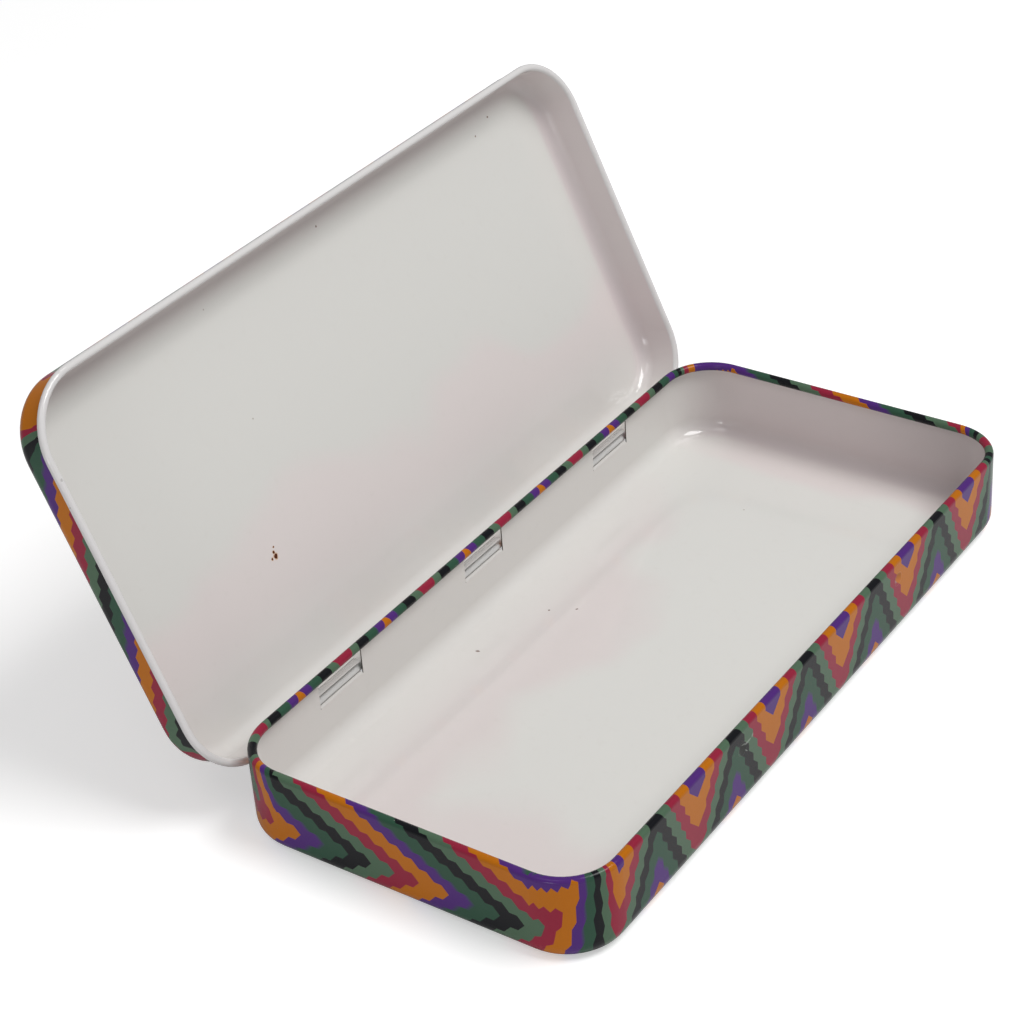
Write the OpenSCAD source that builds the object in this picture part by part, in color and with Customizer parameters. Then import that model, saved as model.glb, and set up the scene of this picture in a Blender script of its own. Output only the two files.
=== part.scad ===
// Hinged tinplate pencil tin: a drawn base tray and a shallow lid that slips over its wall.
// Origin: centre of the base's underside. +X runs along the tin, +Y to the hinges, +Z up.
// The lid stands at its open stop. All sizes are in millimetres.

/* [Sheet] */
// Thickness of the tinplate
sheet = 0.3; // [0.2:0.01:0.4]

/* [Base tray] */
// Length of the base over its walls
base_length = 200; // [180:1:240]
// Width of the base over its walls
base_width = 94; // [70:1:130]
// Height of the base to the top of its rim
base_height = 22; // [20:0.5:36]
// Outside corner radius of the base in plan
corner_radius = 14; // [9:0.5:22]
// Outside radius between the base's floor and wall
floor_radius = 4.3; // [2.5:0.1:6]
// Outside radius of the base rim, rolled inwards
rim_curl_radius = 1.1; // [0.8:0.05:1.5]
// Angle through which the base rim is rolled
rim_curl_angle = 300; // [240:5:320]

/* [Lid] */
// Gap between the base's wall and the lid's wall, all round
lid_gap = 0.45; // [0.4:0.05:0.8]
// Clearance between the base's rolled rim and the inside of the closed lid
lid_rim_clearance = 0.1; // [0.05:0.05:0.3]
// How far the closed lid reaches down over the base's wall
lid_overlap = 10.25; // [9:0.25:12]
// Outside radius between the lid's panel and wall
panel_radius = 3.6; // [2.5:0.1:5]
// Outside radius of the lid's rim bead, rolled outwards
bead_radius = 0.9; // [0.7:0.05:1.2]
// Angle through which the lid's bead is rolled
bead_angle = 300; // [240:5:310]
// Angle between the closed lid and its open stop
open_angle = 114; // [90:1:118]

/* [Hinges] */
// Distance from one hinge to the next
hinge_spacing = 58; // [40:1:62]
// Width of each window in the base's back wall
window_width = 16.2; // [10:0.2:20]
// Gap at each end of a hinge tongue
tongue_side_gap = 0.15; // [0.1:0.05:0.6]
// Radial clearance between the lid's bead and the tongue that passes under it
hinge_clearance = 0.06; // [0.03:0.01:0.1]
// Slope of a tongue where its lip passes into the cup under the bead
lip_angle = 38; // [25:1:55]
// Height of a tongue's straight part, behind the bead
tongue_rise = 1.4; // [0.8:0.1:1.8]
// Outside radius of a tongue's bend over the bead
tongue_top_radius = 1.45; // [1.3:0.05:1.5]
// Angle through which a tongue bends over the bead
tongue_top_angle = 134; // [90:1:140]
// Clearance between a tongue and the upper edge of its slot in the lid
slot_clearance = 0.3; // [0.2:0.05:0.6]
// Radius of the upper corners of the lid's hinge slots
slot_corner = 0.5; // [0.3:0.1:0.6]

/* [Snap detents] */
// Distance between the two detents on the front wall
detent_spacing = 74; // [40:1:120]
// Height of the detents above the lid's rim
detent_rise = 4.8; // [3.5:0.1:5.5]
// Radius of the ball that presses the lid's detent
detent_ball = 2.2; // [1.6:0.1:2.6]
// How far a detent stands in from the lid's wall
detent_depth = 0.8; // [0.6:0.05:1]
// Clearance between a closed detent and its dimple in the base
detent_clearance = 0.25; // [0.15:0.05:0.4]

/* [Hidden] */
$fn = 96;
// Overlap of a cut past the face that it leaves
cut = 1;
// Where the lid's rim plane and the hinge axis lie when the lid is closed
closed_rim_z = base_height - lid_overlap;
axis_y = base_width / 2 + lid_gap + bead_radius;
axis_z = closed_rim_z + bead_radius;
// The closed lid stands as low as the rolled rim fits inside the bend round its panel
bend_inside = panel_radius - sheet;
curl_offset = max(0, bend_inside - lid_gap - rim_curl_radius);
curl_reach = bend_inside - rim_curl_radius - lid_rim_clearance;
curl_drop = sqrt(max(0, curl_reach * curl_reach - curl_offset * curl_offset));
lid_top_gap = max(lid_rim_clearance, bend_inside - rim_curl_radius - curl_drop);
// The lid, from its rim plane to the top of its panel, and over its walls
lid_depth = lid_overlap + lid_top_gap + sheet;
lid_outset = lid_gap + sheet;
lid_length = base_length + 2 * lid_outset;
lid_width = base_width + 2 * lid_outset;
lid_corner = corner_radius + lid_outset;
// A tongue leaves the wall over its lip, cups the bead and rises behind it
cup_inner = bead_radius + hinge_clearance;
cup_outer = cup_inner + sheet;
lip_radius = (lid_gap + bead_radius + sheet - cup_inner * cos(lip_angle)) / (1 + cos(lip_angle));
lip_z = axis_z - (lip_radius + cup_inner) * sin(lip_angle);
tongue_width = window_width - 2 * tongue_side_gap;
top_y = axis_y + cup_outer - tongue_top_radius;
// The window reaches from the lip up to the rolled rim, and the slot clears the tongue's farthest point
window_height = base_height - 2 * rim_curl_radius - lip_z;
slot_height = norm([top_y - axis_y, tongue_rise]) + tongue_top_radius + slot_clearance;
// The ball that presses the detent stands this far outside the lid's inner face
detent_y = -(base_width / 2 + lid_gap + detent_ball - detent_depth);
dimple_ball = detent_ball + detent_clearance;

// The centres of the left, middle and right hinge
hinge_x = [-hinge_spacing, 0, hinge_spacing];

// A point at radius r and angle a
function polar(r, a) = [r * cos(a), r * sin(a)];

// Bent sheet seen end on: a ring from angle start anticlockwise through angle turn
module bend_2d(outer, start, turn) {
    steps = 6;
    reach = 3 * outer;
    intersection() {
        difference() {
            circle(r = outer);
            circle(r = outer - sheet);
        }
        polygon(concat([[0, 0]], [for (k = [0:steps]) polar(reach, start + turn * k / steps)]));
    }
}

// Sweeps a profile round a rounded rectangle. In the profile, x runs outwards from the
// centre of the corner's arc, which is half the rectangle less the corner's radius, and y is up.
module sweep_round(size_x, size_y, radius) {
    flat = [size_x - 2 * radius, size_y - 2 * radius];
    for (k = [0:3]) {
        along = flat[(k + 1) % 2];
        across = flat[k % 2];
        rotate([0, 0, 90 * k]) {
            translate([across / 2, along / 2, 0])
                rotate([90, 0, 0]) linear_extrude(height = along) children();
            translate([across / 2, along / 2, 0])
                rotate_extrude(angle = 90) children();
        }
    }
}

// The flat of a tray between the centres of its corner arcs
module centre_plate(size_x, size_y, radius, z) {
    translate([radius - size_x / 2, radius - size_y / 2, z])
        cube([size_x - 2 * radius, size_y - 2 * radius, sheet]);
}

// Floor, bend and wall of the base, up to where the rim is rolled
module base_profile() {
    square([corner_radius - floor_radius, sheet]);
    translate([corner_radius - floor_radius, floor_radius]) bend_2d(floor_radius, 270, 90);
    translate([corner_radius - sheet, floor_radius])
        square([sheet, base_height - rim_curl_radius - floor_radius]);
}

// Panel, bend and wall of the lid, from where the bead is rolled
module lid_profile() {
    translate([0, lid_depth - sheet]) square([lid_corner - panel_radius, sheet]);
    translate([lid_corner - panel_radius, lid_depth - panel_radius]) bend_2d(panel_radius, 0, 90);
    translate([lid_corner - sheet, bead_radius])
        square([sheet, lid_depth - panel_radius - bead_radius]);
}

// Places children at both detents of the closed tin
module at_detents() {
    for (side = [-1, 1])
        translate([side * detent_spacing / 2, detent_y, closed_rim_z + detent_rise]) children();
}

// Keeps what lies behind the plane y = front
module behind(front) {
    intersection() {
        children();
        translate([-base_length, front, 0]) cube([2 * base_length, base_width, base_height]);
    }
}

// Swings a closed lid about the hinge axis to its open stop
module open_lid() {
    translate([0, axis_y, axis_z]) rotate([-open_angle, 0, 0]) translate([0, -axis_y, -axis_z])
        children();
}

module base_tray() {
    dimple_wall = dimple_ball + sheet;
    color("gainsboro") difference() {
        union() {
            sweep_round(base_length, base_width, corner_radius) base_profile();
            centre_plate(base_length, base_width, corner_radius, 0);
            behind(sheet / 2 - base_width / 2) at_detents() sphere(r = dimple_wall);
        }
        for (x = hinge_x)
            translate([x - window_width / 2, base_width / 2 - sheet - cut, lip_z])
                cube([window_width, sheet + 2 * cut, window_height]);
        at_detents() sphere(r = dimple_ball);
    }
}

module base_rim_curl() {
    color("darkorange") sweep_round(base_length, base_width, corner_radius)
        translate([corner_radius - rim_curl_radius, base_height - rim_curl_radius])
            bend_2d(rim_curl_radius, 0, rim_curl_angle);
}

// A tongue of the base's back wall: over its lip, under the lid's bead, up behind it and back over it
module hinge_tongue(x) {
    color("whitesmoke") translate([x - tongue_width / 2, 0, 0])
        rotate([90, 0, 90]) linear_extrude(height = tongue_width) {
            translate([axis_y, axis_z]) rotate(lip_angle) {
                translate([-lip_radius - cup_inner, 0]) bend_2d(lip_radius, 0, 180 - lip_angle);
                bend_2d(cup_outer, 180, 90);
            }
            translate([axis_y, axis_z]) bend_2d(cup_outer, 270, 90);
            translate([axis_y + cup_inner, axis_z]) square([sheet, tongue_rise]);
            translate([top_y, axis_z + tongue_rise]) bend_2d(tongue_top_radius, 0, tongue_top_angle);
        }
}

module lid_tray() {
    color("silver") open_lid() difference() {
        union() {
            difference() {
                translate([0, 0, closed_rim_z]) {
                    sweep_round(lid_length, lid_width, lid_corner) lid_profile();
                    centre_plate(lid_length, lid_width, lid_corner, lid_depth - sheet);
                }
                for (x = hinge_x) lid_slot(x);
            }
            behind(-lid_width / 2 + sheet / 2) at_detents() sphere(r = detent_ball);
        }
        at_detents() sphere(r = detent_ball - sheet);
    }
}

// The cut in the closed lid's back wall that leaves room for a tongue
module lid_slot(x) {
    flat = window_width - 2 * slot_corner;
    translate([x, lid_width / 2 + cut, axis_z]) rotate([90, 0, 0])
        linear_extrude(height = sheet + 2 * cut) {
            translate([-window_width / 2, -cut]) square([window_width, slot_height - slot_corner + cut]);
            translate([-flat / 2, -cut]) square([flat, slot_height + cut]);
            for (side = [-1, 1])
                translate([side * flat / 2, slot_height - slot_corner]) circle(r = slot_corner);
        }
}

module lid_rim_bead() {
    color("white") open_lid() translate([0, 0, closed_rim_z])
        sweep_round(lid_length, lid_width, lid_corner)
            translate([lid_corner - sheet + bead_radius, bead_radius]) bend_2d(bead_radius, 180, bead_angle);
}

base_tray();
base_rim_curl();
hinge_tongue(hinge_x[0]);  // hinge_tongue_left
hinge_tongue(hinge_x[1]);  // hinge_tongue_middle
hinge_tongue(hinge_x[2]);  // hinge_tongue_right
lid_tray();
lid_rim_bead();
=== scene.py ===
import math

import bpy
from mathutils import Matrix, Vector

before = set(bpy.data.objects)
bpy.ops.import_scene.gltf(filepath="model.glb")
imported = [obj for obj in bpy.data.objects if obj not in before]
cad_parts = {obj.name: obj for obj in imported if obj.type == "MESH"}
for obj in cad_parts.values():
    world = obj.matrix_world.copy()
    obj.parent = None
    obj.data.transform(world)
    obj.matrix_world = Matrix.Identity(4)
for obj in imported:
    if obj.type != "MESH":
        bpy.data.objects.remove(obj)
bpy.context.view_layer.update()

# ---- Sizes in millimetres, as in the CAD model with its lid closed ----
MM = 0.001
SHEET = 0.3
HALF_LENGTH, HALF_WIDTH = 100.0, 47.0  # of the base over its walls
HALF_X, HALF_Y = 86.0, 33.0            # centres of the corner arcs, the same for base and lid
BASE_HEIGHT, BASE_CORNER, FLOOR_RADIUS, CURL_RADIUS = 22.0, 14.0, 4.3, 1.1
LID_CORNER, PANEL_RADIUS = 14.75, 3.6
CLOSED_RIM_Z, LID_DEPTH = 11.75, 11.589
AXIS_Y, AXIS_Z, OPEN_ANGLE = 48.35, 12.65, 114.0
TONGUE_TOP, TONGUE_TOP_RADIUS = (48.16, 14.05), 1.45  # a tongue's bend over the bead, in Y and Z
DIMPLE = (37.0, 16.55)                 # the two snap dimples of the base's front, in X and Z
# Centres of the rolled rim and of the two trays' bends. REACH is the distance from the rectangle
# between the corner arcs' centres.
CURL_Z, CURL_REACH = BASE_HEIGHT - CURL_RADIUS, BASE_CORNER - CURL_RADIUS
FLOOR_Z, FLOOR_REACH = FLOOR_RADIUS, BASE_CORNER - FLOOR_RADIUS
PANEL_Z, PANEL_REACH = CLOSED_RIM_Z + LID_DEPTH - PANEL_RADIUS, LID_CORNER - PANEL_RADIUS

# ---- The printed zigzag, in millimetres on the flat sheet ----
PERIOD, FIRST_STEP, STEP_PITCH, STEP_RISE, STEP_SLOPE = 32.668, 1.833, 1.862, 1.883, 0.95
STEPS = 7.0  # in each half of a period
CYCLE = 39.239
BASE_PRINT = dict(peak=-72.489, start=12.486)
LID_PRINT = dict(peak=-109.62, start=33.97)

# How the press drew the print, fitted. PULL is the flat length for each millimetre along the bend
# and wall. START is the base's flat distance from the corner arcs' centres where its bend begins,
# and for the lid what is added to that distance. The front and back walls and the corners add a
# pair of their own. A SPREAD is the power that narrows a corner's part, and ACROSS, UP and SHIFT
# move the print along the sheet.
BASE_START, BASE_PULL = 9.659, 0.925
BASE_FRONT_START, BASE_FRONT_PULL = 1.323, 0.025
BASE_CORNER_START, BASE_CORNER_PULL, BASE_CORNER_SPREAD = 2.147, 0.335, 0.3
BASE_BACK_SHIFT = 1.5
CURL_FRONT_SQUEEZE = 0.65
LID_START, LID_PULL, LID_DRAWN_OVER = -0.15, 0.95, 8.0
LID_CORNER_START, LID_CORNER_PULL, LID_CORNER_SPREAD, LID_CORNER_END = -4.0, 0.2, 2.2, 9.4
LID_CORNER_ACROSS, LID_FRONT_ACROSS = 5.5, 3.7
LID_CORNER_UP, LID_UP_SPREAD = 2.6, 0.45


# ---- Colours ----
def rgb(*levels):
    """An sRGB colour in levels of 255, as the linear values that a shader takes."""
    def linear(c):
        return c / 12.92 if c <= 0.04045 else ((c + 0.055) / 1.055) ** 2.4
    return tuple(linear(level / 255) for level in levels) + (1,)


# Each ink: where it starts, how far its first edge bleeds, and its colour
SHARP, SOFT = 0.03, 0.8
INKS = [
    (0.0, 0.0, rgb(82, 44, 122)),
    (5.953, SOFT, rgb(50, 84, 66)),
    (12.862, SHARP, rgb(21, 22, 26)),
    (18.931, SHARP, rgb(82, 108, 86)),
    (25.129, SHARP, rgb(150, 38, 62)),
    (31.451, SHARP, rgb(190, 110, 16)),
]
# The white coat of each tray: in the open, where pink reflection is painted on it, and on the
# walls at its ends, where shade is painted
BASE_WHITES = rgb(221, 220, 216), rgb(221, 213, 211), rgb(209, 197, 198)
# The lid's whites are set a little darker than the base's, as painted shade
LID_WHITES = rgb(215, 214, 210), rgb(219, 211, 209), rgb(217, 205, 206)
# Painted shade on the base's short ends towards its front
BASE_END_FRONT_SHADE = rgb(176, 164, 166)
BEAD_WHITE, BEAD_SCUFF = rgb(214, 216, 216), rgb(150, 146, 142)
MOTTLE, DUST, MARK = rgb(196, 190, 182), rgb(120, 96, 74), rgb(96, 52, 34)
RUST, RUST_HALO = rgb(80, 34, 12), rgb(206, 150, 84)
# The last is a painted highlight along the dimples' edges
CHIP, RUBBED_INK, DIMPLE_HIGHLIGHT = rgb(206, 200, 192), rgb(170, 172, 166), rgb(196, 202, 194)
DARK_TINPLATE, PALE_TINPLATE = rgb(150, 151, 150), rgb(188, 188, 185)
# The last is a painted shadow line on each tongue's bend
CUT_EDGE, TONGUE_EDGE, TONGUE_SHADOW = rgb(92, 88, 84), rgb(104, 100, 96), rgb(66, 60, 56)

# ---- Gloss, metal, roughness and relief ----
COAT_IOR = 1.5
LACQUER_GLOSS, INK_GLOSS = 0.5, 0.16
EDGE_METAL, TINPLATE_METAL, TONGUE_EDGE_METAL = 0.9, 0.85, 0.8
INK_ROUGH, CURL_INK_ROUGH, RUBBED_ROUGH = 0.19, 0.18, 0.5
CUT_ROUGH, CURL_CUT_ROUGH = 0.42, 0.40
# Roughness at the least, and what the noise adds
LACQUER_ROUGH, LACQUER_ROUGH_MORE = 0.04, 0.05
TINPLATE_ROUGH, TINPLATE_ROUGH_MORE = 0.30, 0.14
RELIEF_DEPTH, WAVE_HEIGHT, PEEL_HEIGHT = 0.1 * MM, 1.2, 0.012
# The ink's tone without noise, what its grain and slow shifts add, and a factor that darkens the
# rolled rim's ink as painted shade
INK_TONE, INK_GRAIN_MORE, INK_SHIFT_MORE, CURL_SHADE = 0.87, 0.10, 0.16, 0.9

# ---- Noise patterns: scale for each millimetre, detail and roughness ----
INK_GRAIN, INK_SHIFT, INK_CHIPS = (2.2, 3.0, 0.6), (0.03, 2.0, 0.5), (1.7, 4.0, 0.75)
PINK_DRIFT, LACQUER_MOTTLE, LACQUER_SHEEN = (0.03, 1.0, 0.4), (0.35, 3.0, 0.6), (0.05, 3.0, 0.6)
MARK_OUTLINE, BEAD_SCUFFS = (1.3, 3.0, 0.7), (1.4, 4.0, 0.7)
WAVES, PEEL = (0.022, 1.0, 0.4), (0.9, 2.0, 0.5)
TINPLATE_GRAIN = (1.0, 3.0, 0.6)
# Factors on a pattern's X, Y and Z: the tinplate was rolled along X
TINPLATE_STRETCH, SCUFF_STRETCH = (0.08, 1.6, 1.6), (0.5, 0.5, 2.0)

# ---- How strong each small mark, painted highlight and painted shade is ----
CHIP_MIX, RUB_MIX, DIMPLE_HIGHLIGHT_MIX, SCUFF_MIX, TONGUE_SHADOW_MIX = 0.8, 0.14, 0.34, 0.25, 0.9
MOTTLE_MIX, DUST_MIX, MARK_MIX, RUST_HALO_MIX = 0.16, 0.55, 0.8, 0.6
RUST_HALO_WIDE, RUST_HALO_LONG = 1.5, 1.4  # its size against the spot's
DUST_CELLS, DUST_RARE, DUST_DOT = 0.085, 0.72, (0.022, 0.012)
END_SHADE_MIX, END_FRONT_SHADE_MIX, BEAD_MIX = 0.8, 0.5, 0.6

# ---- Where each look begins and ends ----
FACE_MARGIN = 0.35            # between a face of the sheet and its cut edge
PLAIN_EDGE = (8.3, 8.0)       # reach within which the underside is plain tinplate
END_SHADE_REACH = (9.0, 12.5)        # reach over which the painted shade of the ends comes in
END_FRONT = (5.0, -40.0)      # Y over which the painted shade on the base's ends turns greyer
RUBBED_DIMPLE = (2.2, 1.3)    # millimetres from a dimple's middle
TONGUE_SHADOW_TURNS = (0.60, 0.68), (1.22, 1.08)  # radians round a tongue's bend, where its painted shadow line starts and stops

# ---- Where pink is painted on the white coat, in millimetres: painted reflection of the printed walls, and painted shade at the lid's front ----
PINK_EDGE = (62.0, 49.0)      # from none to full, over the distance to a wall plus the wander
PINK_WANDER = 40.0
PINK_OFF_WALL = (4.0, 24.0)   # from weak to full, away from the hinged wall
PINK_AT_WALL = 0.25
PINK_FADE_X, PINK_FADE = 10.0, 0.45  # in the base it narrows to the right of this X
PINK_RIGHT_END = 2.6          # a factor on the distance to the base's right end
PINK_FRONT_SHADE = (8.0, 2.0)       # painted pink shade along the lid's front edge


# ---- A small way to write shader maths ----
class Value:
    """A socket of a node tree that can be used in a formula."""

    def __init__(self, tree, socket):
        self.tree, self.socket = tree, socket

    def maths(self, op, *others):
        node = self.tree.nodes.new("ShaderNodeMath")
        node.operation = op
        for i, v in enumerate((self,) + others):
            plug(self.tree, v, node.inputs[i])
        return Value(self.tree, node.outputs[0])

    def __add__(self, o):
        return self.maths("ADD", o)

    def __sub__(self, o):
        return self.maths("SUBTRACT", o)

    def __mul__(self, o):
        return self.maths("MULTIPLY", o)

    def __truediv__(self, o):
        return self.maths("DIVIDE", o)

    __radd__, __rmul__ = __add__, __mul__

    def __rsub__(self, o):
        return (self * -1.0) + o

    def low(self, o):
        return self.maths("MINIMUM", o)

    def high(self, o):
        return self.maths("MAXIMUM", o)

    def above(self, o):
        return self.maths("GREATER_THAN", o)

    def below(self, o):
        return self.maths("LESS_THAN", o)

    def power(self, o):
        return self.maths("POWER", o)

    def size(self):
        return self.maths("ABSOLUTE")

    def ramp(self, start, end):
        """0 at start, 1 at end, smooth between."""
        node = self.tree.nodes.new("ShaderNodeMapRange")
        node.interpolation_type = "SMOOTHSTEP"
        plug(self.tree, self, node.inputs[0])
        node.inputs[1].default_value, node.inputs[2].default_value = start, end
        return Value(self.tree, node.outputs[0])


def plug(tree, value, socket):
    """Links a value to a socket, or sets a constant on it."""
    if isinstance(value, Value):
        tree.links.new(value.socket, socket)
    else:
        socket.default_value = value


def hypot(a, b):
    return (a * a + b * b).maths("SQRT")


def mix(tree, amount, a, b):
    """A colour between a and b."""
    node = tree.nodes.new("ShaderNodeMix")
    node.data_type = "RGBA"
    plug(tree, amount, node.inputs[0])
    plug(tree, a, node.inputs[6])
    plug(tree, b, node.inputs[7])
    return Value(tree, node.outputs[2])


def blend(amount, a, b):
    """A number between a and b."""
    return amount * b + (1.0 - amount) * a


def scaled(tree, vector, amount):
    """A vector or colour times a number."""
    node = tree.nodes.new("ShaderNodeVectorMath")
    node.operation = "SCALE"
    plug(tree, vector, node.inputs[0])
    plug(tree, amount, node.inputs["Scale"])
    return Value(tree, node.outputs[0])


def split(tree, vector):
    node = tree.nodes.new("ShaderNodeSeparateXYZ")
    plug(tree, vector, node.inputs[0])
    return [Value(tree, node.outputs[i]) for i in range(3)]


def join(tree, x, y, z):
    node = tree.nodes.new("ShaderNodeCombineXYZ")
    for i, v in enumerate((x, y, z)):
        plug(tree, v, node.inputs[i])
    return Value(tree, node.outputs[0])


def turned(x, y, degrees):
    """The point (x, y) in axes turned by an angle."""
    c, s = math.cos(math.radians(degrees)), math.sin(math.radians(degrees))
    return x * c + y * s, y * c - x * s


class Place:
    """Where a shaded point lies on the closed tin, in millimetres, and how it faces."""

    def __init__(self, tree, lid):
        coords = tree.nodes.new("ShaderNodeTexCoord")
        x, y, z = split(tree, scaled(tree, Value(tree, coords.outputs["Object"]), 1 / MM))
        nx, ny, nz = split(tree, Value(tree, coords.outputs["Normal"]))
        if lid:
            y, z = turned(y - AXIS_Y, z - AXIS_Z, -OPEN_ANGLE)
            y, z = y + AXIS_Y, z + AXIS_Z
            ny, nz = turned(ny, nz, -OPEN_ANGLE)
        self.tree, self.x, self.y, self.z, self.normal = tree, x, y, z, (nx, ny, nz)
        self.closed = join(tree, x, y, z)
        # The nearest point of the rectangle between the corner arcs' centres, and the way out
        self.core_x = x.high(-HALF_X).low(HALF_X)
        self.core_y = y.high(-HALF_Y).low(HALF_Y)
        dx, dy = x - self.core_x, y - self.core_y
        self.reach = hypot(dx, dy)
        safe = self.reach.high(0.001)
        self.out_x, self.out_y = dx / safe, dy / safe
        # 1 on the short walls, on the long walls and in the middle of a corner
        self.ends, self.sides = self.out_x * self.out_x, self.out_y * self.out_y
        self.corner = self.ends * self.sides * 4.0

    def noise(self, pattern, stretch=None):
        """Noise around 0.5 in a pattern of scale, detail and roughness."""
        vector = self.closed
        if stretch:
            node = self.tree.nodes.new("ShaderNodeVectorMath")
            node.operation = "MULTIPLY"
            plug(self.tree, vector, node.inputs[0])
            node.inputs[1].default_value = stretch
            vector = Value(self.tree, node.outputs[0])
        node = self.tree.nodes.new("ShaderNodeTexNoise")
        plug(self.tree, vector, node.inputs["Vector"])
        for socket, number in zip(("Scale", "Detail", "Roughness"), pattern):
            node.inputs[socket].default_value = number
        return Value(self.tree, node.outputs[0])


# ---- The print ----
def zigzag(tree, u, w, peak, start):
    """The colour of the printed zigzag at (u, w) of the flat sheet."""
    fold = (u - peak).maths("PINGPONG", PERIOD / 2)
    risers = ((fold - FIRST_STEP) / STEP_PITCH).maths("FLOOR") + 1.0
    shift = fold * STEP_SLOPE + risers.high(0.0).low(STEPS) * STEP_RISE
    at = ((w - start + shift) / CYCLE).maths("FRACT")
    stops = [(0.0, INKS[0][2])]
    for (_, _, before), (mm, bleed, after) in zip(INKS, INKS[1:]):
        stops += [(mm - bleed, before), (mm + bleed, after)]
    stops += [(CYCLE - SHARP, INKS[-1][2]), (CYCLE, INKS[0][2])]
    node = tree.nodes.new("ShaderNodeValToRGB")
    plug(tree, at, node.inputs[0])
    elements = node.color_ramp.elements
    while len(elements) < len(stops):
        elements.new(0.5)
    for element, (mm, colour) in zip(elements, stops):
        element.position, element.color = mm / CYCLE, colour
    return Value(tree, node.outputs[0])


def base_print(p, curl=False):
    """The zigzag on the base's wall, or round its rolled rim."""
    if curl:
        turn = (p.z - CURL_Z).maths("ARCTAN2", p.reach - CURL_REACH)
        turn = turn + turn.below(0.0) * (2 * math.pi)
        along = turn * CURL_RADIUS * (1.0 - p.sides * CURL_FRONT_SQUEEZE) + (
            FLOOR_RADIUS * math.pi / 2 + CURL_Z - FLOOR_Z)
    else:
        bend = (p.reach - FLOOR_REACH).maths("ARCTAN2", (FLOOR_Z - p.z).high(0.0))
        along = bend * FLOOR_RADIUS + (p.z - FLOOR_Z).high(0.0)
    corner = p.corner.power(BASE_CORNER_SPREAD)
    start = p.sides * BASE_FRONT_START + BASE_START
    pull = p.sides * BASE_FRONT_PULL + BASE_PULL
    radial = start + pull * along + corner * (BASE_CORNER_START - along * BASE_CORNER_PULL)
    across = p.out_y.high(0.0) * BASE_BACK_SHIFT
    u = p.core_x + radial * p.out_x + across
    w = (p.core_y + radial * p.out_y) * -1.0
    return zigzag(p.tree, u, w, **BASE_PRINT)


def lid_print(p):
    """The zigzag on the lid's panel and wall."""
    bend = (p.reach - PANEL_REACH).high(0.0).maths("ARCTAN2", (p.z - PANEL_Z).high(0.0))
    along = bend * PANEL_RADIUS + (PANEL_Z - p.z).high(0.0)
    corner = p.corner.power(LID_CORNER_SPREAD)
    along = along - (along - LID_CORNER_END).high(0.0) * corner
    drawn = (along / LID_DRAWN_OVER).low(1.0)
    radial = p.reach.low(PANEL_REACH) + LID_START + along * LID_PULL + (
        drawn * corner * (along * LID_CORNER_PULL + LID_CORNER_START))
    across = drawn * (corner * LID_CORNER_ACROSS + p.sides * LID_FRONT_ACROSS)
    up = drawn * p.out_y.below(0.0) * p.corner.power(LID_UP_SPREAD) * LID_CORNER_UP
    u = p.core_x + radial * p.out_x + across
    w = (p.core_y + radial * p.out_y) * -1.0 - up
    return zigzag(p.tree, u, w, **LID_PRINT)


def inked(p, colour, shade=1.0):
    """Ink with a fine grain, slow shifts of tone, small chips down to the white coat, and a factor
    of painted shade.
    """
    grain, shift = p.noise(INK_GRAIN) * INK_GRAIN_MORE, p.noise(INK_SHIFT) * INK_SHIFT_MORE
    tone = (grain + shift + INK_TONE) * shade
    chips = p.noise(INK_CHIPS).ramp(0.735, 0.765)
    return mix(p.tree, chips * CHIP_MIX, scaled(p.tree, colour, tone), CHIP)


# ---- The white coat ----
def spots(p, across, up, places, ragged=1.2):
    """A mask of marks on a flat: (across, up, half width, half length, turn in degrees)."""
    rough = p.noise(MARK_OUTLINE)
    total = None
    for x, y, wide, long, turn in places:
        along, over = turned(across - x, up - y, turn)
        far = hypot(along / wide, over / long) + (rough - 0.5) * ragged
        mark = far.ramp(1.0, 0.75)
        total = mark if total is None else total.high(mark)
    return total


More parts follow.
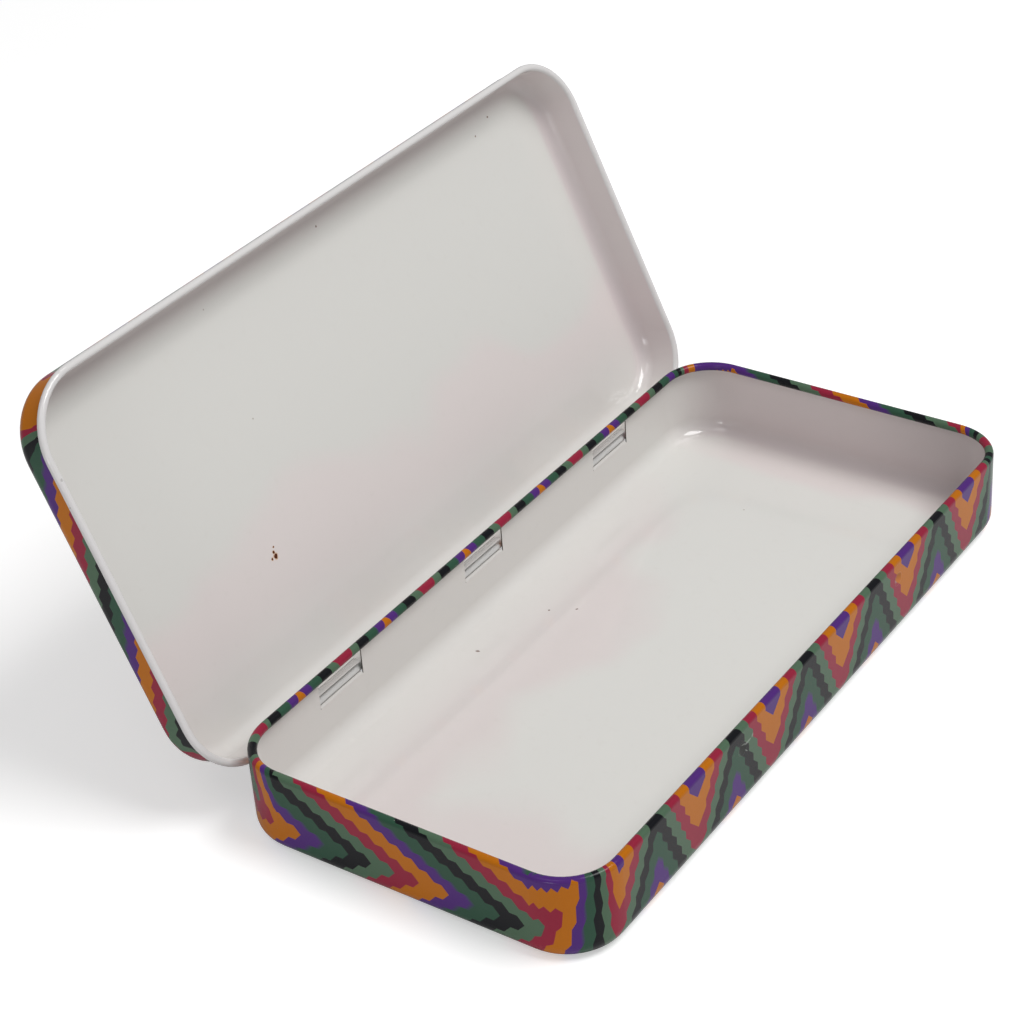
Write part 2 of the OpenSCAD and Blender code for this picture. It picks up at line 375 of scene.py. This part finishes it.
def lacquer(p, marks=(), rust=(), lid=True):
    """Colour and roughness of the white coat, with painted pink reflection and painted shade."""
    t = p.tree
    white, pink, end = LID_WHITES if lid else BASE_WHITES
    # Painted reflection of the printed walls: pinker towards the hinges, and in the base towards
    # the short ends; at the lid's front, painted pink shade
    near = back = HALF_WIDTH - p.y
    if not lid:
        near = back + (p.x - PINK_FADE_X).high(0.0) * PINK_FADE
        near = near.low(p.x + HALF_LENGTH).low((HALF_LENGTH - p.x) * PINK_RIGHT_END)
    near = near + p.noise(PINK_DRIFT) * PINK_WANDER
    off_wall = back.ramp(*PINK_OFF_WALL) * (1.0 - PINK_AT_WALL) + PINK_AT_WALL
    painted_pink = near.ramp(*PINK_EDGE) * off_wall
    if lid:
        painted_pink = painted_pink.high((p.y + HALF_WIDTH).ramp(*PINK_FRONT_SHADE))
    colour = mix(t, painted_pink, white, pink)
    # Painted shade: the walls at the short ends are greyer, and in the base most of all at its
    # front
    end_shade = p.ends * p.reach.ramp(*END_SHADE_REACH)
    colour = mix(t, end_shade * END_SHADE_MIX, colour, end)
    if not lid:
        front = end_shade * p.y.ramp(*END_FRONT)
        colour = mix(t, front * END_FRONT_SHADE_MIX, colour, BASE_END_FRONT_SHADE)
    mottle = p.noise(LACQUER_MOTTLE).ramp(0.55, 0.95)
    colour = mix(t, mottle * MOTTLE_MIX, colour, MOTTLE)
    # Fine dust specks, few and far between: a dot in the middle of some cells
    cells = t.nodes.new("ShaderNodeTexVoronoi")
    plug(t, p.closed, cells.inputs["Vector"])
    cells.inputs["Scale"].default_value = DUST_CELLS
    pick = split(t, Value(t, cells.outputs["Color"]))[0].above(DUST_RARE)
    dust = Value(t, cells.outputs["Distance"]).ramp(*DUST_DOT) * pick
    colour = mix(t, dust * DUST_MIX, colour, DUST)
    if marks:
        colour = mix(t, spots(p, p.x, p.y, marks) * MARK_MIX, colour, MARK)
    if rust:
        halo = [(x, y, wide * RUST_HALO_WIDE, long * RUST_HALO_LONG, turn)
                for x, y, wide, long, turn in rust]
        colour = mix(t, spots(p, p.x, p.y, halo) * RUST_HALO_MIX, colour, RUST_HALO)
        colour = mix(t, spots(p, p.x, p.y, rust), colour, RUST)
    return colour, p.noise(LACQUER_SHEEN) * LACQUER_ROUGH_MORE + LACQUER_ROUGH


# ---- Materials ----
def surface(name, body):
    """A material from what body(tree) gives: place, colour, metal, roughness and gloss."""
    material = bpy.data.materials.new(name)
    material.use_nodes = True
    tree = material.node_tree
    shader = tree.nodes["Principled BSDF"]
    p, colour, metal, rough, gloss = body(tree)
    plug(tree, colour, shader.inputs["Base Color"])
    plug(tree, metal, shader.inputs["Metallic"])
    plug(tree, rough, shader.inputs["Roughness"])
    plug(tree, gloss, shader.inputs["Specular IOR Level"])
    shader.inputs["IOR"].default_value = COAT_IOR
    # Slow waves of the drawn sheet and the fine orange peel of its coat
    relief = p.noise(WAVES) * WAVE_HEIGHT + p.noise(PEEL) * PEEL_HEIGHT
    bump = tree.nodes.new("ShaderNodeBump")
    plug(tree, relief, bump.inputs["Height"])
    bump.inputs["Distance"].default_value = RELIEF_DEPTH
    bump.inputs["Strength"].default_value = 1.0
    tree.links.new(bump.outputs[0], shader.inputs["Normal"])
    return material


def facing(p, lid):
    """1 where a face looks out of the printed side, -1 on the white side, near 0 on a cut edge."""
    if lid:
        side, up = (p.reach - PANEL_REACH).high(0.0), (p.z - PANEL_Z).high(0.0)
    else:
        side, up = (p.reach - FLOOR_REACH).high(0.0), (FLOOR_Z - p.z).high(0.0) * -1.0
    length = hypot(side, up).high(0.001)
    nx, ny, nz = p.normal
    return (nx * p.out_x + ny * p.out_y) * (side / length) + nz * (up / length)


def sheet_metal(p, print_colour, marks, rust=(), plain=None, dull=None):
    """A tray: print outside, white coat inside, bare steel on cut edges.

    The base gives two masks: where its outside is plain tinplate, and where its ink is dull.
    """
    t = p.tree
    lid = plain is None
    way = facing(p, lid)
    outside, inside = way.above(FACE_MARGIN), way.below(-FACE_MARGIN)
    edge = (1.0 - outside) * (1.0 - inside)
    colour, rough = lacquer(p, marks, rust, lid)
    colour = mix(t, outside, colour, inked(p, print_colour))
    rough = blend(outside, rough, INK_ROUGH)
    metal = edge * EDGE_METAL
    if not lid:
        grain = p.noise(TINPLATE_GRAIN, TINPLATE_STRETCH)
        bare = outside * plain
        colour = mix(t, bare, colour, mix(t, grain, DARK_TINPLATE, PALE_TINPLATE))
        metal = metal + bare * TINPLATE_METAL
        rough = blend(outside * dull, rough, RUBBED_ROUGH)
        rough = blend(bare, rough, grain * TINPLATE_ROUGH_MORE + TINPLATE_ROUGH)
    colour = mix(t, edge, colour, CUT_EDGE)
    rough = blend(edge, rough, CUT_ROUGH)
    return p, colour, metal, rough, blend(outside, LACQUER_GLOSS, INK_GLOSS)


def base_tray_material(t):
    p = Place(t, lid=False)
    plain = p.reach.ramp(*PLAIN_EDGE) * p.z.below(FLOOR_Z)
    marks = [(-17.3, 37.8, 0.35, 0.6, 20), (5.4, 32.1, 0.3, 0.3, 0), (9.1, 26.3, 0.28, 0.4, 60)]
    # The lid's detents have worn the two dimples dull; the pale strokes along them are painted
    # highlights
    front = p.out_y.below(-0.9)
    rub = hypot(p.x.size() - DIMPLE[0], p.z - DIMPLE[1]).ramp(*RUBBED_DIMPLE) * front
    dimple_highlights = [(-35.0, 16.95, 1.9, 0.34, 3), (-32.7, 17.4, 0.34, 0.6, -25),
                 (-35.4, 15.0, 0.16, 0.8, 45), (36.2, 16.2, 0.28, 1.2, 45)]
    highlit = spots(p, p.x, p.z, dimple_highlights, ragged=0.5) * front
    ink = mix(t, rub * RUB_MIX, base_print(p), RUBBED_INK)
    ink = mix(t, highlit * DIMPLE_HIGHLIGHT_MIX, ink, DIMPLE_HIGHLIGHT)
    return sheet_metal(p, ink, marks, plain=plain, dull=rub)


def base_curl_material(t):
    p = Place(t, lid=False)
    outside = hypot(p.z - CURL_Z, p.reach - CURL_REACH).above(CURL_RADIUS - 0.05)
    # The rim's ink carries a factor of painted shade
    colour = mix(t, outside, CUT_EDGE, inked(p, base_print(p, curl=True), CURL_SHADE))
    return p, colour, 0.0, blend(outside, CURL_CUT_ROUGH, CURL_INK_ROUGH), INK_GLOSS


def lid_tray_material(t):
    p = Place(t, lid=True)
    marks = [(7.5, -41.5, 0.3, 0.3, 0), (79.8, -40.5, 0.35, 0.3, 0), (72.6, -38.0, 0.3, 0.25, 0)]
    rust = [(-48.6, 18.0, 0.62, 0.68, 0), (-48.7, 17.0, 0.36, 0.4, 0),
            (-50.0, 18.1, 0.3, 0.34, 0), (-48.1, 15.9, 0.24, 0.22, 0)]
    return sheet_metal(p, lid_print(p), marks, rust)


def bead_material(t):
    p = Place(t, lid=True)
    marks = [(-101.4, -29.1, 0.34, 0.42, 0), (-102.4, -22.9, 0.24, 0.26, 0)]
    colour, rough = lacquer(p, marks)
    colour = mix(t, BEAD_MIX, colour, BEAD_WHITE)
    scuffs = p.noise(BEAD_SCUFFS, SCUFF_STRETCH).ramp(0.66, 0.72)
    return p, mix(t, scuffs * SCUFF_MIX, colour, BEAD_SCUFF), 0.0, rough, LACQUER_GLOSS


def tongue_material(t):
    p = Place(t, lid=False)
    colour, rough = lacquer(p)
    # The cut edges are the two ends in X and the tip, which lies between the bend's two faces
    margin = 0.03
    outer = TONGUE_TOP_RADIUS - margin
    tip = hypot(p.y - TONGUE_TOP[0], p.z - TONGUE_TOP[1])
    end = tip.above(TONGUE_TOP_RADIUS - SHEET + margin) * tip.below(outer)
    end = end * p.z.above(TONGUE_TOP[1] + 0.05)
    edge = (p.normal[0] * p.normal[0]).above(0.5).high(end)
    # A painted shadow line over the outside of the bend, in the crease under the lid's slot
    turn = (p.z - TONGUE_TOP[1]).maths("ARCTAN2", p.y - TONGUE_TOP[0])
    starts, stops = TONGUE_SHADOW_TURNS
    shadow_line = tip.above(outer) * turn.ramp(*starts) * turn.ramp(*stops)
    colour = mix(t, shadow_line * TONGUE_SHADOW_MIX, colour, TONGUE_SHADOW)
    colour = mix(t, edge, colour, TONGUE_EDGE)
    metal = edge * TONGUE_EDGE_METAL
    return p, colour, metal, blend(edge, rough, CUT_ROUGH), LACQUER_GLOSS


MATERIALS = {
    "base_tray": surface("printed_base", base_tray_material),
    "base_rim_curl": surface("printed_rim", base_curl_material),
    "lid_tray": surface("printed_lid", lid_tray_material),
    "lid_rim_bead": surface("white_bead", bead_material),
}
TONGUE = surface("white_tongue", tongue_material)
for name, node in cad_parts.items():
    node.data.materials.clear()
    node.data.materials.append(MATERIALS.get(name, TONGUE))

# ---- Floor, in metres ----
scene = bpy.context.scene
FLOOR_HALF = 3
FLOOR_WHITE, FLOOR_ROUGH, FLOOR_GLOSS = (0.74, 0.74, 0.74, 1), 0.9, 0.1
# What the floor gives off where the camera or a gloss sees it: near the tin, and more far away
FLOOR_LIFT, FLOOR_FAR_LIFT, FLOOR_IN_GLOSS = 0.46, 0.4, 0.1
FLOOR_FAR = (0.4, 1.6)
WHITE = (1, 1, 1, 1)

floor_mesh = bpy.data.meshes.new("floor")
floor_mesh.from_pydata(
    [(x * FLOOR_HALF, y * FLOOR_HALF, 0) for x, y in ((-1, -1), (1, -1), (1, 1), (-1, 1))],
    [], [(0, 1, 2, 3)])
floor = bpy.data.objects.new("floor", floor_mesh)
scene.collection.objects.link(floor)
floor_material = bpy.data.materials.new("floor")
floor_material.use_nodes = True
floor_tree = floor_material.node_tree
floor_shader = floor_tree.nodes["Principled BSDF"]
floor_shader.inputs["Base Color"].default_value = FLOOR_WHITE
floor_shader.inputs["Roughness"].default_value = FLOOR_ROUGH
floor_shader.inputs["Specular IOR Level"].default_value = FLOOR_GLOSS
floor_shader.inputs["Emission Color"].default_value = WHITE
# It is lifted to white like this, and keeps the object's shadow
path = floor_tree.nodes.new("ShaderNodeLightPath")
in_gloss = Value(floor_tree, path.outputs["Is Glossy Ray"]) * FLOOR_IN_GLOSS
seen = Value(floor_tree, path.outputs["Is Camera Ray"]).high(in_gloss)
floor_coords = floor_tree.nodes.new("ShaderNodeTexCoord")
x, y, _ = split(floor_tree, Value(floor_tree, floor_coords.outputs["Object"]))
lift = hypot(x, y).ramp(*FLOOR_FAR) * FLOOR_FAR_LIFT + FLOOR_LIFT
plug(floor_tree, seen * lift, floor_shader.inputs["Emission Strength"])
floor_mesh.materials.append(floor_material)

# ---- World and lamps: the camera sees the world white, and the object gets less of it ----
WORLD_LIGHT = 0.28
world = bpy.data.worlds.new("studio")
scene.world = world
world.use_nodes = True
world_tree = world.node_tree
backdrop = world_tree.nodes["Background"]
backdrop.inputs["Color"].default_value = WHITE
path = world_tree.nodes.new("ShaderNodeLightPath")
strength = Value(world_tree, path.outputs["Is Camera Ray"]).high(WORLD_LIGHT)
plug(world_tree, strength, backdrop.inputs["Strength"])

# Each lamp: place, what it aims at, size and watts
LAMPS = {
    "key": ((0.22, -0.66, 1.3), (0, 0.02, 0.02), 0.7, 14.4),
    "fill": ((-0.6, 0.05, 1.1), (0, 0, 0.02), 0.5, 1.4),
    "side": ((-0.9, -0.15, 0.11), (0, 0, 0.02), 0.2, 1.05),
    "spark": ((0.6, -0.4, 1.2), (0, 0, 0.02), 0.12, 0.6),
}
for name, (place, aim, size, watts) in LAMPS.items():
    light = bpy.data.lights.new(name, "AREA")
    light.shape, light.size, light.energy = "SQUARE", size, watts
    lamp = bpy.data.objects.new(name, light)
    lamp.location = place
    lamp.rotation_euler = (Vector(aim) - Vector(place)).to_track_quat("-Z", "Y").to_euler()
    scene.collection.objects.link(lamp)

# ---- Camera ----
CAMERA_PLACE = Vector((-421.6, -272.0, 366.9)) * MM
CAMERA_AZIMUTH, CAMERA_ELEVATION, CAMERA_ROLL = -53.912, 32.587, -4.248
CAMERA_LENS = 91.22
CAMERA_SHIFT = (-0.0055, -0.0075)
CAMERA_CLIP = (0.01, 10)


def look(azimuth, elevation, roll):
    """The turn of a camera that looks at the object from an angle."""
    a, e = math.radians(azimuth), math.radians(elevation)
    back = Vector((math.sin(a) * math.cos(e), -math.cos(a) * math.cos(e), math.sin(e)))
    level = (-back).to_track_quat("-Z", "Y").to_matrix()
    return level @ Matrix.Rotation(math.radians(roll), 3, "Z")


camera = bpy.data.objects.new("camera", bpy.data.cameras.new("camera"))
scene.collection.objects.link(camera)
camera.data.lens = CAMERA_LENS
camera.data.shift_x, camera.data.shift_y = CAMERA_SHIFT
camera.data.clip_start, camera.data.clip_end = CAMERA_CLIP
camera.matrix_world = Matrix.Translation(CAMERA_PLACE) @ look(
    CAMERA_AZIMUTH, CAMERA_ELEVATION, CAMERA_ROLL).to_4x4()
bpy.context.scene.camera = camera
bpy.context.scene.view_settings.view_transform = "Standard"
